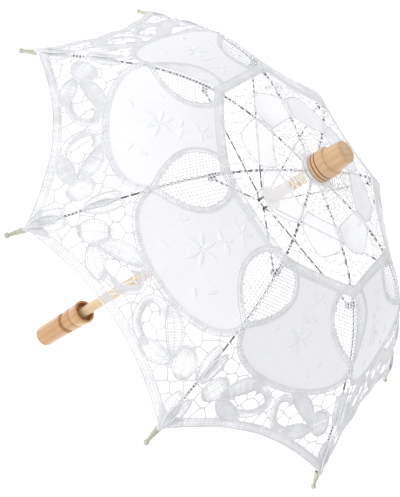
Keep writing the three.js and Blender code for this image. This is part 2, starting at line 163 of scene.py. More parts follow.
class Lace:
    """Threads of one gore, kept flat until they are laid on its curved surface."""

    def __init__(self, k):
        self.k = k
        self.random = np.random.default_rng(40 + k)
        self.threads = []
        self.stitches = []  # embroidery, of a paler thread
        self.holes = []  # outlines of the motifs, which the mesh goes round

    def thread(self, curve, radius=THREAD, lift=0.0, bead=0.0, pale=False):
        """A round thread. A beaded one is thicker and thinner in turn, like a twisted cord."""
        curve = np.asarray(curve, float)
        run = lengths(curve)[-1] * LENGTH
        if run < 0.4 * MM:
            return
        spacing = 1.1 * MM if bead else 2.4 * MM
        curve = evenly(curve, max(3 if bead else 2, run / spacing + 1))
        size = radius * (1 + bead * np.where(np.arange(len(curve)) % 2, 1, -1))
        into = self.stitches if pale else self.threads
        into.append((curve, size, np.full(len(curve), float(lift))))

    def arch(self, a, b, radius, low, high):
        """A stitch from a to b that rises in between."""
        t = np.linspace(0, 1, 5)[:, None]
        curve = np.asarray(a) * (1 - t) + np.asarray(b) * t
        rise = low + (high - low) * np.sin(math.pi * t[:, 0]) ** 0.7
        self.stitches.append((curve, np.full(5, radius), rise))

    def rungs(self, left, right, pitch):
        """Threads across, from one side curve to the other."""
        run = max(lengths(left)[-1], lengths(right)[-1])
        count = max(2, int(run / pitch))
        for ends in zip(evenly(left, count), evenly(right, count)):
            self.thread(np.array(ends), RUNG * self.random.uniform(0.88, 1.06))

    def tape(self, curve, width, inner, edge=CORD, pitch=TAPE_PITCH):
        """A woven tape: cords along its edges, finer threads along it and rungs across."""
        curve = evenly(curve, lengths(curve)[-1] * LENGTH / (1.1 * MM))
        left, right = sideways(curve, width / 2), sideways(curve, -width / 2)
        for side in (left, right):
            self.thread(side, edge, 0.1 * MM, 0.13)
        for i in range(inner):
            share = (2 * (i + 1) / (inner + 1) - 1) * width / 2
            self.thread(sideways(curve, share), FINE, 0.15 * MM)
        self.rungs(left, right, pitch)
        return np.vstack([left, right[::-1]])

    def leaf(self, start, end, wide, bow=0.0, blunt=0.62):
        """A leaf of tape lace: its outline, a vein and close threads across it."""
        start, end = np.asarray(start, float), np.asarray(end, float)
        start, end = (p + self.random.normal(0, 0.0022, 2) for p in (start, end))
        t = np.linspace(0, 1, 40)
        along = end - start
        across = np.array([-along[1], along[0]]) / np.hypot(*along)
        line = start + t[:, None] * along + (np.sin(math.pi * t) * bow)[:, None] * across
        width = wide * np.maximum(np.sin(math.pi * t), 0.0) ** blunt
        left, right = sideways(line, width), sideways(line, -width)
        outline = np.vstack([left, right[::-1]])
        self.thread(np.vstack([outline, outline[:1]]), CORD * 1.1, 0.15 * MM, 0.14)
        within = sideways(line, 0.72 * width), sideways(line, -0.72 * width)
        for side in within:
            self.thread(side[3:-3], FINE, 0.2 * MM)
        self.thread(line[2:-2], FINE, 0.2 * MM)
        self.rungs(left[2:-2], right[2:-2], 0.0043)
        self.holes.append(outline)

    def mesh(self, region, spacing, radius=CORD, pale=False):
        """Bars between jittered cells, which fill region and stop at the motifs."""
        low, high = region.min(0), region.max(0)
        trial = self.random.uniform(low, high, (4000, 2))
        trial = trial[inside(region, trial)]
        sites = []
        for p in trial:
            if all(np.hypot(*(p - q)) > spacing * 0.86 for q in sites):
                sites.append(p)
        if len(sites) < 3:
            return
        real = len(sites)
        middle = (low + high) / 2
        for a in np.linspace(0, 2 * math.pi, 24, False):
            sites.append(middle + 1.5 * np.array([math.cos(a), math.sin(a)]))
        made = delaunay_2d_cdt([Vector(p) for p in sites], [], [], 0, 1e-7)
        corners = np.array([tuple(v) for v in made[0]])
        origin = [o[0] if o else -1 for o in made[3]]
        centres, sides = [], {}
        for n, face in enumerate(made[2]):
            centres.append(centre_of(corners[list(face)]))
            for a, b in zip(face, face[1:] + face[:1]):
                sides.setdefault((min(a, b), max(a, b)), []).append(n)
        for (a, b), faces in sides.items():
            if len(faces) < 2 or max(origin[a], origin[b]) >= real:
                continue
            ends = np.array([centres[faces[0]], centres[faces[1]]])
            if np.hypot(*(ends[1] - ends[0])) > 1.0:
                ends[1] = ends[0] + (ends[1] - ends[0]) / np.hypot(*(ends[1] - ends[0]))
            self.bar(region, ends, radius, pale=pale)

    def bar(self, region, ends, radius, lift=None, pale=False):
        """The part of a straight thread within region: round the motifs, if it has no lift."""
        count = max(12, int(np.hypot(*(ends[1] - ends[0])) / 0.0016))
        t = np.linspace(0, 1, count)[:, None]
        line = ends[0] * (1 - t) + ends[1] * t
        shown = inside(region, line)
        for hole in self.holes if lift is None else ():
            shown &= ~inside(hole, line)
        start = None
        for i in range(count + 1):
            if i < count and shown[i]:
                start = i if start is None else start
            elif start is not None:
                if i - start > 1:
                    part = line[max(0, start - 1) : min(count, i + 1)]
                    self.thread(part, radius, lift or 0.0, 0.0 if lift else 0.12, pale)
                start = None

    def net(self, region, pitch, radius, turn, lift, pale=False):
        """Straight threads side by side, which fill region."""
        middle, reach = region.mean(0), np.ptp(region, axis=0).max()
        way = np.array([math.cos(turn), math.sin(turn)])
        across = np.array([-way[1], way[0]])
        for offset in np.arange(-reach, reach, pitch):
            start = middle + across * offset
            ends = np.array([start - way * reach, start + way * reach])
            self.bar(region, ends, radius, lift, pale)

    def laid(self, threads):
        """(left, right) meshes: the threads on the gore's surface, parted at its middle line."""
        curves, sizes, runs = [], [], []
        at = 0
        for curve, size, lift in threads:
            data = parted(np.column_stack([curve, size, lift]))
            sign = np.sign(np.where(np.abs(data[:, 0]) < 1e-9, 0, data[:, 0]))
            cuts = [i for i in range(1, len(data) - 1) if sign[i] == 0]
            for a, b in zip([0, *cuts], [*cuts, len(data) - 1]):
                if b > a:
                    middle = data[a : b + 1, 0].mean()
                    runs.append((0 if middle < 0 else 1, at + a, at + b))
            curves.append(data)
            at += len(data)
            sizes.append(len(data))
        data = np.vstack(curves)
        ends = np.cumsum(sizes)
        starts = ends - sizes
        points, normals = place(data[:, 0], data[:, 1], data[:, 3], self.k)
        after, before = np.arange(at) + 1, np.arange(at) - 1
        after[ends - 1] -= 1
        before[starts] += 1
        tangent = points[after] - points[before]
        tangent /= np.maximum(np.linalg.norm(tangent, axis=1), 1e-12)[:, None]
        side = np.cross(tangent, normals)
        side /= np.maximum(np.linalg.norm(side, axis=1), 1e-12)[:, None]
        up = np.cross(side, tangent)
        rings = ring_points(points, side, up, data[:, 2])
        return [tubes(rings, [r[1:] for r in runs if r[0] == n]) for n in (0, 1)]


SIDES = 5


def ring_points(points, side, up, radius):
    angle = np.arange(SIDES) * 2 * math.pi / SIDES
    spoke = side[:, None] * np.cos(angle)[:, None] + up[:, None] * np.sin(angle)[:, None]
    return points[:, None] + spoke * radius[:, None, None]


def tubes(rings, runs):
    """Closed tubes through runs of rings, as (points, faces)."""
    index = np.concatenate([np.arange(a, b + 1) for a, b in runs])
    last = np.cumsum([b - a + 1 for a, b in runs])
    first = last - [b - a + 1 for a, b in runs]
    points = rings[index].reshape(-1, 3)
    body = np.setdiff1d(np.arange(len(index)), last - 1)
    here = body[:, None] * SIDES + np.arange(SIDES)
    there = body[:, None] * SIDES + (np.arange(SIDES) + 1) % SIDES
    quads = np.stack([here, there, there + SIDES, here + SIDES], -1).reshape(-1, 4)
    near = (first[:, None] * SIDES + np.arange(SIDES))[:, ::-1]
    far = (last[:, None] - 1) * SIDES + np.arange(SIDES)
    return points, quads.tolist() + near.tolist() + far.tolist()


def parted(data):
    """A point is put in wherever a thread crosses the gore's middle line."""
    x = data[:, 0]
    where = np.nonzero(x[1:] * x[:-1] < 0)[0]
    for i in where[::-1]:
        share = x[i] / (x[i] - x[i + 1])
        new = data[i] * (1 - share) + data[i + 1] * share
        new[0] = 0
        data = np.insert(data, i + 1, new, 0)
    return data


def centre_of(triangle):
    (ax, ay), (bx, by), (cx, cy) = triangle[:3]
    d = 2 * (ax * (by - cy) + bx * (cy - ay) + cx * (ay - by))
    d = d if abs(d) > 1e-12 else 1e-12
    a, b, c = ax * ax + ay * ay, bx * bx + by * by, cx * cx + cy * cy
    x = (a * (by - cy) + b * (cy - ay) + c * (ay - by)) / d
    y = (a * (cx - bx) + b * (ax - cx) + c * (bx - ax)) / d
    return np.array([x, y])


# ---- The design of a gore ----
HEM_RIB, HEM_RISE, HEM_TAPE = 0.944, 0.064, 0.028
BAND_TOP, BAND_LOW = 0.345, 0.378
LINEN_TOP, LINEN_LOW = 0.362, 0.7215  # the panel, along the rib
LINEN_HALF = 0.16 * MM  # half its thickness
LENS = np.array(  # (s, reach from the rib) of the net patch's border
    [(0.345, 0.026), (0.365, 0.052), (0.39, 0.078), (0.42, 0.096), (0.45, 0.106),
     (0.48, 0.109), (0.51, 0.101), (0.54, 0.08), (0.565, 0.05), (0.585, 0.016), (0.6, 0.004)]
)
BOWL = [(0.219, 0.588), (0.208, 0.632), (0.175, 0.668), (0.12, 0.694), (0.06, 0.708), (0, 0.712)]
SHIELD = [(0.16, 0.07), (0.175, 0.0765), (0.2, 0.086), (0.22, 0.089), (0.236, 0.083),
          (0.252, 0.069), (0.268, 0.05), (0.282, 0.028), (0.291, 0.008)]


def hem(across, offset=0.0):
    s = HEM_RIB - HEM_RISE * (1 - across**2) - offset
    return np.stack([across * half(s), s], 1)


def lens_reach(s):
    return np.interp(s, *LENS.T)


def bowl_curve():
    left = [(-x, s) for x, s in BOWL]
    return smooth(left + [(x, s) for x, s in BOWL[-2::-1]], 90)


def panel_edge(s):
    """Half width of the linen panel at s."""
    lens = half(s) - lens_reach(s) + 0.006
    bowl = smooth(BOWL, 60)
    inner = sideways(bowl, -0.011)
    order = np.argsort(inner[:, 1])
    low = np.interp(s, inner[order, 1], inner[order, 0])
    return np.where(s < inner[:, 1].min(), lens, np.minimum(lens, low))


def satin_leaf(lace, start, end, wide, high=0.24 * MM):
    """A leaf of satin stitch, which stands up from the linen."""
    start, end = np.asarray(start, float), np.asarray(end, float)
    along = end - start
    across = np.array([-along[1], along[0]]) / np.hypot(*along)
    count = int(np.hypot(*along) / 0.0013)
    for t in (np.arange(count) + 0.5) / count:
        width = wide * math.sin(math.pi * t**0.85) ** 0.8
        middle = start + along * t
        lace.arch(
            middle - across * width, middle + across * width + along * 0.02,
            FINE, 0.18 * MM, 0.18 * MM + high * min(1, width / wide + 0.25),
        )
    t = np.linspace(0, 1, 14)
    width = wide * np.sin(math.pi * t**0.85).clip(0) ** 0.8
    line = start + t[:, None] * along
    ring = np.vstack([sideways(line, width), sideways(line, -width)[::-1]])
    lace.thread(ring, FINE, 0.18 * MM, pale=True)


def flower(lace, centre, size, petals, turn, skip=()):
    centre = np.asarray(centre, float)
    for i in range(petals):
        if i in skip:
            continue
        a = turn + 2 * math.pi * i / petals + lace.random.normal(0, 0.08)
        way = np.array([math.cos(a), math.sin(a)])
        long = size * lace.random.uniform(0.9, 1.12)
        satin_leaf(lace, centre + way * 0.004, centre + way * (0.006 + long), 0.165 * long)


def design(k):
    lace = Lace(k)
    random = lace.random
    across = np.linspace(-1, 1, 90)

    # the hem and the bowl-shaped border below the linen
    lace.tape(hem(across, HEM_TAPE / 2), HEM_TAPE, 2, EDGE_CORD)
    bowl = bowl_curve()
    lace.tape(sideways(bowl, 0.009), 0.018, 1, EDGE_CORD)

    # lower motifs: a leaf flower at each side and two facing curls between them
    for side in (-1, 1):
        def at(x, s):
            return (side * x, s)
        lace.leaf(at(0.056, 0.724), at(0.186, 0.804), 0.027, -side * 0.012)
        lace.leaf(at(0.184, 0.748), at(0.244, 0.83), 0.035, 0.0, 0.5)
        lace.leaf(at(half(0.67) - 0.016, 0.67), at(half(0.785) - 0.008, 0.785), 0.019)
        lace.leaf(at(0.088, 0.853), at(0.196, 0.813), 0.028, side * 0.004)
        lace.leaf(at(half(0.84) - 0.022, 0.836), at(half(0.94) - 0.004, 0.938), 0.024)
        # threads gathered into the tip
        for share in np.linspace(0, 1, 11):
            start = at(half(0.9) + 0.004 - 0.05 * share, 0.9 + 0.004 * share)
            end = at(half(0.953) + 0.006 - 0.012 * share, 0.953)
            lace.thread(np.array([start, end]), THREAD, random.uniform(-0.3, 0.6) * MM)
        shift = 0.0 if side < 0 else 0.012
        curl = [at(0.118, 0.836 + shift), at(0.085, 0.831 + shift), at(0.05, 0.82 + shift),
                at(0.026, 0.798), at(0.018, 0.77), at(0.034, 0.749), at(0.062, 0.745),
                at(0.078, 0.758)]
        curl = smooth(np.array(curl) + random.normal(0, 0.0016, (8, 2)), 50)
        lace.holes.append(lace.tape(curl, 0.025, 1, pitch=0.0054))
    inner_hem = hem(across, HEM_TAPE)
    rib_side = np.linspace(0.6, HEM_RIB - HEM_TAPE, 12)
    low_band = np.vstack([
        sideways(bowl, 0.0)[:, :],
        np.stack([half(rib_side), rib_side], 1),
        inner_hem[::-1],
        np.stack([-half(rib_side), rib_side], 1)[::-1],
    ])
    lace.mesh(low_band, 0.041, CORD * 1.55)

    # net patches on the ribs, and their borders
    for side in (-1, 1):
        s = np.linspace(0.347, 0.592, 70)
        border = np.stack([side * (half(s) - lens_reach(s)), s], 1)
        lace.tape(sideways(border, side * -0.0075), 0.0165, 1, EDGE_CORD)
        rib = np.stack([side * (half(s) + 0.003), s], 1)
        patch = np.vstack([rib, sideways(border, side * -0.014)[::-1]])
        along = math.atan2(s[-1] - s[0], side * (half(s[-1]) - half(s[0])))
        lace.net(patch, 0.0104, THREAD * 1.15, 0.0, 0.02 * MM)
        lace.net(patch, 0.0104, THREAD * 1.15, along, 0.2 * MM)

    # ladder band across the top of the linen
    arc = (BAND_TOP + BAND_LOW) / 2 + 0.004 * (1 - across**2)
    lace.tape(np.stack([across * half(arc), arc], 1), 0.033, 3, EDGE_CORD)

    # crown: a shield of close net, tall cells below it, small ones and gathers above
    edge = smooth([(x, s) for s, x in SHIELD] + [(0, 0.293)], 40)
    shield = np.vstack([edge * (-1, 1), edge[::-1]])
    ring = evenly(np.vstack([shield, shield[:1]]), 120)
    lace.thread(ring, CORD, 0.2 * MM, 0.12)
    lace.net(shield, 0.005, FINE * 1.1, 0.12, 0.02 * MM, True)
    lace.net(shield, 0.005, FINE * 1.1, math.pi / 2 + 0.12, 0.15 * MM, True)
    lace.holes.append(shield)
    s = np.linspace(0.165, BAND_TOP, 20)
    upper = np.vstack([np.stack([-half(s), s], 1), np.stack([half(s), s], 1)[::-1]])
    lace.mesh(upper, 0.034, CORD * 1.3, True)
    s = np.linspace(0.075, 0.165, 10)
    small = np.vstack([np.stack([-half(s), s], 1), np.stack([half(s), s], 1)[::-1]])
    lace.mesh(small, 0.021, CORD * 1.1, True)
    top = np.linspace(-1, 1, 20)
    for at_s in (0.022, 0.036, 0.05, 0.064, 0.078, 0.112):
        row = at_s + 0.003 * (1 - top**2) * (at_s > 0.1)
        lace.thread(np.stack([top * half(row), row], 1), THREAD, 0.1 * MM, 0.12, True)
    s = np.linspace(0.0175, 0.08, 5)
    for share in np.linspace(-0.94, 0.94, 11):
        lace.thread(np.stack([share * half(s), s], 1), FINE * 1.15, pale=True)

    # embroidery on the linen
    jig = random.normal(0, 0.005, 2)
    turn = random.uniform(-0.3, 0.3)
    bloom = np.array([-0.012, 0.566]) + jig
    flower(lace, bloom, 0.046, 6, turn + 0.5)
    bud = np.array([0.016, 0.436]) + jig
    flower(lace, bud, 0.031, 5, turn + 0.2, (1,))
    stem = smooth([bloom + (0.004, -0.05), bloom + (0.03, -0.085), bud + (0.0, 0.035)], 20)
    lace.thread(stem, FINE, 0.3 * MM, pale=True)
    satin_leaf(lace, stem[9], stem[9] + (0.036, 0.012), 0.0075)
    satin_leaf(lace, stem[6], stem[6] + (-0.034, -0.01), 0.0075)
    for x, s, dx, ds in ((-0.12, 0.575, 0.02, -0.028), (0.105, 0.6, -0.012, 0.03),
                         (0.06, 0.648, 0.026, 0.014), (-0.07, 0.645, -0.028, 0.012)):
        spot = np.array([x, s]) + jig
        satin_leaf(lace, spot, spot + (dx, ds), 0.0065)
    return lace


def linen_sheets(k):
    """(left, right) closed thin sheets of gore k, each with its flat coordinates."""
    rows = np.concatenate([np.linspace(LINEN_TOP, 0.66, 40), np.linspace(0.665, LINEN_LOW, 16)])
    wide = np.maximum(panel_edge(rows), 0.01)
    area = float(((wide[1:] + wide[:-1]) / 2 * np.diff(rows)).sum()) * LENGTH**2
    columns = 23
    s = np.repeat(rows[:, None], columns, 1)
    made = []
    for side in (-1, 1):
        x = side * wide[:, None] * np.linspace(0, 1, columns)
        layers = [place(x, s, lift, k)[0].reshape(-1, 3) for lift in (-LINEN_HALF, LINEN_HALF)]
        flat = np.stack([x, s], -1).reshape(-1, 2) * LENGTH
        faces = thin_faces(len(rows), columns, side)
        made.append((np.vstack(layers), faces, np.vstack([flat, flat]), area))
    return made


def thin_faces(rows, columns, side):
    """Faces of a closed thin sheet of two layers of rows by columns points."""
    def at(layer, i, j):
        return (layer * rows + i) * columns + j
    faces = []
    for i in range(rows - 1):
        for j in range(columns - 1):
            faces.append([at(1, i, j), at(1, i + 1, j), at(1, i + 1, j + 1), at(1, i, j + 1)])
            faces.append([at(0, i, j), at(0, i, j + 1), at(0, i + 1, j + 1), at(0, i + 1, j)])
    for i in range(rows - 1):
        faces.append([at(0, i, 0), at(0, i + 1, 0), at(1, i + 1, 0), at(1, i, 0)])
        j = columns - 1
        faces.append([at(0, i + 1, j), at(0, i, j), at(1, i, j), at(1, i + 1, j)])
    for j in range(columns - 1):
        faces.append([at(0, 0, j), at(1, 0, j), at(1, 0, j + 1), at(0, 0, j + 1)])
        i = rows - 1
        faces.append([at(1, i, j), at(0, i, j), at(0, i, j + 1), at(1, i, j + 1)])
    return faces if side > 0 else [f[::-1] for f in faces]


# ---- Materials ----
def tone(red, green, blue):
    """A colour as it looks on a screen, for a shader."""
    return tuple(
        c / 12.92 if c <= 0.04045 else ((c + 0.055) / 1.055) ** 2.4 for c in (red, green, blue)
    ) + (1.0,)


class Look:
    """A node material about one Principled shader."""

    def __init__(self, name, colour, **sockets):
        self.material = bpy.data.materials.new(name)
        self.material.use_nodes = True
        self.nodes = self.material.node_tree.nodes
        self.links = self.material.node_tree.links
        self.shader = self.nodes["Principled BSDF"]
        self.shader.inputs["Base Color"].default_value = tone(*colour)
        for socket, value in sockets.items():
            self.shader.inputs[socket.replace("_", " ").title()].default_value = value

    def node(self, kind, **sockets):
        made = self.nodes.new("ShaderNode" + kind)
        for socket, value in sockets.items():
            made.inputs[socket.replace("_", " ").title()].default_value = value
        return made

    def place(self, scale=(1, 1, 1), uv=False):
        """Coordinates in metres times scale, in the row frame or flat on the cloth."""
        if uv:
            source = self.nodes.new("ShaderNodeUVMap")
            source.uv_map = "cloth"
            start = source.outputs["UV"]
        else:
            start = self.nodes.new("ShaderNodeTexCoord").outputs["Object"]
        mapping = self.node("Mapping", scale=scale)
        self.links.new(start, mapping.inputs["Vector"])
        return mapping.outputs["Vector"]

    def noise(self, vector, scale, detail=3.0, rough=0.5):
        made = self.node("TexNoise", scale=scale, detail=detail, roughness=rough)
        self.links.new(vector, made.inputs["Vector"])
        return made.outputs["Fac"]

    def wave(self, vector, scale, direction, distortion):
        made = self.node("TexWave", scale=scale, distortion=distortion)
        made.wave_type = "BANDS"
        made.bands_direction = direction
        self.links.new(vector, made.inputs["Vector"])
        return made.outputs["Fac"]

    def ramp(self, factor, *stops):
        made = self.nodes.new("ShaderNodeValToRGB")
        ramp = made.color_ramp
        while len(ramp.elements) < len(stops):
            ramp.elements.new(0.5)
        for element, (at, colour) in zip(ramp.elements, stops):
            element.position = at
            element.color = colour if len(colour) == 4 else tone(*colour)
        self.links.new(factor, made.inputs["Fac"])
        return made.outputs["Color"]

    def math(self, what, a, b):
        made = self.nodes.new("ShaderNodeMath")
        made.operation = what
        for socket, value in zip(made.inputs, (a, b)):
            if isinstance(value, (int, float)):
                socket.default_value = value
            else:
                self.links.new(value, socket)
        return made.outputs["Value"]

    def colour(self, output):
        self.links.new(output, self.shader.inputs["Base Color"])

    def rough(self, factor, low, high):
        made = self.nodes.new("ShaderNodeMapRange")
        made.inputs["To Min"].default_value = low
        made.inputs["To Max"].default_value = high
        self.links.new(factor, made.inputs["Value"])
        self.links.new(made.outputs["Result"], self.shader.inputs["Roughness"])

    def bump(self, height, strength, distance):
        made = self.node("Bump", strength=strength, distance=distance)
        self.links.new(height, made.inputs["Height"])
        self.links.new(made.outputs["Normal"], self.shader.inputs["Normal"])


def thread_look(name, low, high):
    look = Look(name, high, roughness=0.9)
    look.shader.inputs["Sheen Weight"].default_value = 0.1
    at = look.place()
    look.colour(look.ramp(look.noise(at, 90), (0.3, low), (0.7, high)))
    look.bump(look.noise(at, 2600, 1.0), 0.35, 0.15 * MM)
    return look.material


def linen_look():
    look = Look("linen", (0.955, 0.955, 0.97), roughness=0.92)
    look.shader.inputs["Sheen Weight"].default_value = 0.12
    at = look.place(uv=True)
    weave = look.math("MAXIMUM", look.wave(at, 560, "X", 0.6), look.wave(at, 560, "Y", 0.6))
    slub = look.noise(look.place((1, 0.12, 1), True), 700, 2.0)
    height = look.math("ADD", weave, look.math("MULTIPLY", slub, 0.7))
    look.bump(height, 0.2, 0.1 * MM)
    look.colour(look.ramp(slub, (0.2, (0.932, 0.933, 0.948)), (0.8, (0.952, 0.953, 0.966))))
    look.rough(slub, 0.85, 0.97)
    return look.material


def wood_look(name, light, dark, rings, coat, rough):
    look = Look(name, light, roughness=rough)
    look.shader.inputs["Coat Weight"].default_value = coat
    look.shader.inputs["Coat Roughness"].default_value = 0.12
    grain = look.place((1, 0.25, 0.05))
    ring = look.wave(grain, rings, "X", 5.5)
    fibre = look.noise(look.place((1, 1, 0.03)), 1500, 4.0, 0.65)
    drift = look.noise(look.place((1, 1, 0.25)), 60, 2.0)
    mixed = look.math("ADD", look.math("MULTIPLY", ring, 0.16), look.math("MULTIPLY", fibre, 0.5))
    mixed = look.math("ADD", mixed, look.math("MULTIPLY", drift, 0.5))
    look.colour(look.ramp(mixed, (0.3, light), (0.85, dark)))
    look.rough(fibre, rough - 0.08, rough + 0.12)
    look.bump(fibre, 0.12, 0.1 * MM)
    return look.material


def steel_look(name, colour, rough):
    look = Look(name, colour, metallic=1.0, roughness=rough)
    at = look.place((1, 1, 1))
    spots = look.noise(at, 420, 3.0, 0.6)
    dark = tuple(c * 0.72 for c in colour)
    look.colour(look.ramp(spots, (0.35, dark), (0.65, colour)))
    look.rough(spots, rough - 0.08, rough + 0.16)
    look.bump(look.noise(at, 1800, 2.0), 0.1, 0.05 * MM)
    return look.material


def plastic_look(name, colour, rough, subsurface):
    look = Look(name, colour, roughness=rough)
    look.shader.inputs["Subsurface Weight"].default_value = subsurface
    look.shader.inputs["Subsurface Scale"].default_value = 1.5 * MM
    at = look.place()
    cloud = look.noise(at, 160, 3.0)
    pale = tuple(min(1, c * 1.03) for c in colour)
    look.colour(look.ramp(cloud, (0.3, tuple(c * 0.96 for c in colour)), (0.7, pale)))
    look.rough(cloud, rough - 0.05, rough + 0.08)
    look.bump(look.noise(at, 900, 2.0), 0.06, 0.08 * MM)
    return look.material


COTTON = thread_look("cotton_thread", (0.885, 0.887, 0.9), (0.925, 0.927, 0.938))
FLOSS = thread_look("cotton_floss", (0.945, 0.947, 0.96), (0.965, 0.967, 0.977))
LINEN = linen_look()
HANDLE_WOOD = wood_look("handle_wood", (0.765, 0.6, 0.385), (0.65, 0.445, 0.25), 60, 0.55, 0.34)
# darker, redder wood inside the handle's cup: partly end grain, partly painted shade of the
# hollow
RECESS_GRAIN_AND_SHADE_WOOD = wood_look("recess_end_grain_and_painted_shade", (0.78, 0.52, 0.34), (0.64, 0.38, 0.22), 60, 0.3, 0.4)
FERRULE_WOOD = wood_look("ferrule_wood", (0.86, 0.73, 0.57), (0.76, 0.60, 0.43), 60, 0.35, 0.38)
# much darker wood for the ferrule's two grooves: painted shade in the grooves
GROOVE_SHADE_WOOD = wood_look("groove_painted_shade", (0.6, 0.4, 0.24), (0.45, 0.28, 0.16), 95, 0.1, 0.6)
SHAFT_WOOD = wood_look("shaft_wood", (0.85, 0.76, 0.62), (0.75, 0.64, 0.48), 60, 0.1, 0.5)
STEEL = steel_look("rib_steel", (0.62, 0.625, 0.64), 0.38)
BRIGHT_STEEL = steel_look("spring_steel", (0.66, 0.67, 0.69), 0.3)
WHITE_PLASTIC = plastic_look("white_plastic", (0.93, 0.93, 0.91), 0.36, 0.15)
IVORY = plastic_look("ivory_plastic", (0.73, 0.73, 0.66), 0.34, 0.1)


# ---- Pieces ----
def add_piece(name, points, faces, look, body, sharp=None):
    mesh = bpy.data.meshes.new(name)
    mesh.from_pydata(np.asarray(points).tolist(), [], faces)
    mesh.polygons.foreach_set("use_smooth", np.ones(len(mesh.polygons), bool))
    if sharp:
        mesh.set_sharp_from_angle(angle=math.radians(sharp))
    mesh.materials.append(look)
    piece = bpy.data.objects.new(name, mesh)
    bpy.context.scene.collection.objects.link(piece)
    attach(piece, body)
    return piece


def lathe(profile, sides=64):
    """A turned solid about Z. A profile that starts and ends on the axis is closed there."""
    profile = np.asarray(profile, float)
    angle = np.arange(sides) * 2 * math.pi / sides
    points, rows = [], []
    for r, z in profile:
        if r < 1e-7:
            rows.append([len(points)] * sides)
            points.append((0, 0, z))
        else:
            rows.append(list(range(len(points), len(points) + sides)))
            points += [(r * math.cos(a), r * math.sin(a), z) for a in angle]
    faces = []
    for low, high in zip(rows, rows[1:]):
        for i in range(sides):
            j = (i + 1) % sides
            face = [low[i], low[j], high[j], high[i]]
            faces.append([v for n, v in enumerate(face) if v not in face[:n]])
    return points, [f for f in faces if len(f) > 2]


def arc(r, z, radius, start, end, steps=8):
    angle = np.radians(np.linspace(start, end, steps + 1))
    return [(r + radius * math.cos(a), z + radius * math.sin(a)) for a in angle]


def make_handle():
    bottom, top = -371.0, -299.0
    grip, neck, barrel, rim, cup = 10.95, 7.9, 11.35, 11.9, 9.35
    neck_at = bottom + 41
    barrel_at = neck_at + 6
    lip = (rim - cup) / 2
    profile = [
        (0, bottom),
        (grip - 3.4, bottom),
        *arc(grip - 3, bottom + 3, 3, -84, 0, 10),
        (grip - 0.05, bottom + 20),
        *arc(grip - 1.6, neck_at - 1.6, 1.6, 0, 62),
        (neck + 0.5, neck_at + 0.3),
        (neck, neck_at + 1.1),
        (neck, barrel_at - 1.1),
        (neck + 0.5, barrel_at - 0.3),
        *arc(barrel - 1.6, barrel_at + 1.6, 1.6, -62, 0),
        (barrel, barrel_at + 10.4),
        *arc(barrel + 0.4, barrel_at + 11.5, 0.95, 240, 120, 6),
        (barrel, barrel_at + 12.6),
        (rim, top - 4),
        *arc(rim - lip, top - lip, lip, 0, 180, 14),
        (cup, top - 6.4),
        (cup - 0.6, top - 7),
        (5.3, top - 7),
        (5.3, top - 41.3),
        (0, top - 41.3),
    ]
    points, faces = lathe([(r * MM, z * MM + CROWN) for r, z in profile])
    piece = add_piece("turned_handle", points, faces, HANDLE_WOOD, "frame", 40)
    # faces inside the cup's recess get the darker wood: partly end grain, partly painted shade
    piece.data.materials.append(RECESS_GRAIN_AND_SHADE_WOOD)
    for face in piece.data.polygons:
        x, y, z = face.center
        if math.hypot(x, y) < 9.7 * MM and z > (top - 12) * MM + CROWN:
            face.material_index = 1
    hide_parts("handle")


def make_ferrule():
    bottom, shaft_top = 3.8, 21.8
    base, step, end = 12.2, 10.4, 9.3
    profile = [(0, shaft_top + 0.3), (5.3, shaft_top + 0.3), (5.3, bottom)]
    profile += arc(base - 1.2, bottom + 1.2, 1.2, -90, 0)
    for groove in (3.6, 6.8):
        z = bottom + groove
        profile += [(base, z - 0.55), (base - 0.12, z - 0.42), (base - 0.55, z - 0.2)]
        profile += [(base - 0.55, z + 0.2), (base - 0.12, z + 0.42), (base, z + 0.55)]
    profile += arc(base - 1.1, bottom + 13.4, 1.1, 0, 90)
    profile += [(step + 0.15, bottom + 14.5), (step, bottom + 14.7)]
    profile += [(end + 0.2, bottom + 27.7), *arc(end - 0.9, bottom + 27.9, 1.1, 0, 90)]
    profile += [(7.2, bottom + 28.9), (6.4, bottom + 28.3), (0, bottom + 28.2)]
    points, faces = lathe([(r * MM, z * MM + CROWN) for r, z in profile])
    piece = add_piece("turned_ferrule", points, faces, FERRULE_WOOD, "frame", 40)
    # faces inside the two grooves get the darker wood, as painted shade
    piece.data.materials.append(GROOVE_SHADE_WOOD)
    for face in piece.data.polygons:
        x, y, z = face.center
        height = (z - CROWN) / MM - bottom
        in_groove = math.hypot(x, y) < 11.9 * MM and min(abs(height - 3.6), abs(height - 6.8)) < 0.5
        if in_groove and math.hypot(x, y) > 8 * MM:
            face.material_index = 1
    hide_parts("ferrule")


def along_rib(s, drop=0.0):
    """Radius, height and slope on a rib's wire, or below it square to the wire."""
    r, z, slope = (np.interp(s, RIB_S, v) for v in (RIB_R, RIB_Z, RIB_SLOPE))
    return r - drop * math.sin(slope), z - drop * math.cos(slope), slope


def rib_frame(k, s):
    """Matrix at a point of rib k: X along the wire outwards, Z out of the cloth."""
    r, z, slope = along_rib(s)
    turn = Matrix.Rotation((k - 1) * STEP, 4, "Z")
    return turn @ Matrix.Translation((r, 0, z)) @ Matrix.Rotation(slope, 4, "Y")


